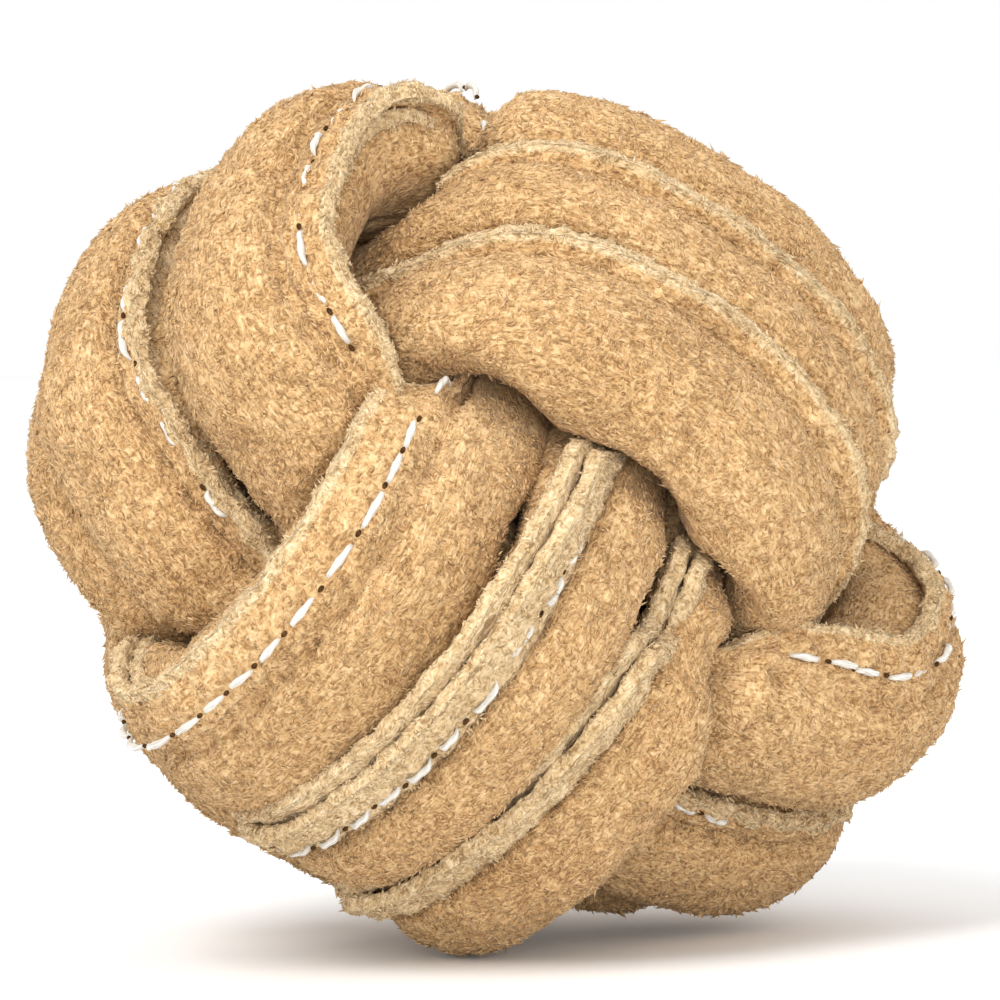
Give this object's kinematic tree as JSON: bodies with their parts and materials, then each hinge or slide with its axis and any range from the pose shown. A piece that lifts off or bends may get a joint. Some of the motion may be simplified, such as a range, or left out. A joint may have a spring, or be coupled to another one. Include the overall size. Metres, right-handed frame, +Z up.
{
  "type": "suede knot ball",
  "caption": "Soft exercise ball knotted from stuffed suede tubes: three woven groups of parallel tubes with stitched seam fins round a packed core.",
  "frame": {"origin": "centre of the ball", "axes": "+Z up through the corner where three groups of tubes meet, with the ball standing on the opposite corner; the middle of the c group faces -Y, dipping below the horizon"},
  "size_m": [0.0998, 0.1064, 0.1005],
  "materials": {
    "suede": "napped golden tan suede",
    "thread": "white twisted sewing thread",
    "tube_filling": "soft fibre filling",
    "core_stuffing": "packed fibre stuffing"
  },
  "bodies": {
    "root": {"core_ball": "core_stuffing", "cover_c1": "suede", "cover_c2": "suede", "cover_c3": "suede", "cover_a1": "suede", "cover_a2": "suede", "cover_a3": "suede", "cover_b1": "suede", "cover_b2": "suede", "cover_b3": "suede", "filling_c1": "tube_filling", "filling_c2": "tube_filling", "filling_c3": "tube_filling", "filling_a1": "tube_filling", "filling_a2": "tube_filling", "filling_a3": "tube_filling", "filling_b1": "tube_filling", "filling_b2": "tube_filling", "filling_b3": "tube_filling", "seam_thread_c1": "thread", "seam_thread_c2": "thread", "seam_thread_c3": "thread", "seam_thread_a1": "thread", "seam_thread_a2": "thread", "seam_thread_a3": "thread", "seam_thread_b1": "thread", "seam_thread_b2": "thread", "seam_thread_b3": "thread"}
  },
  "joints": []
}
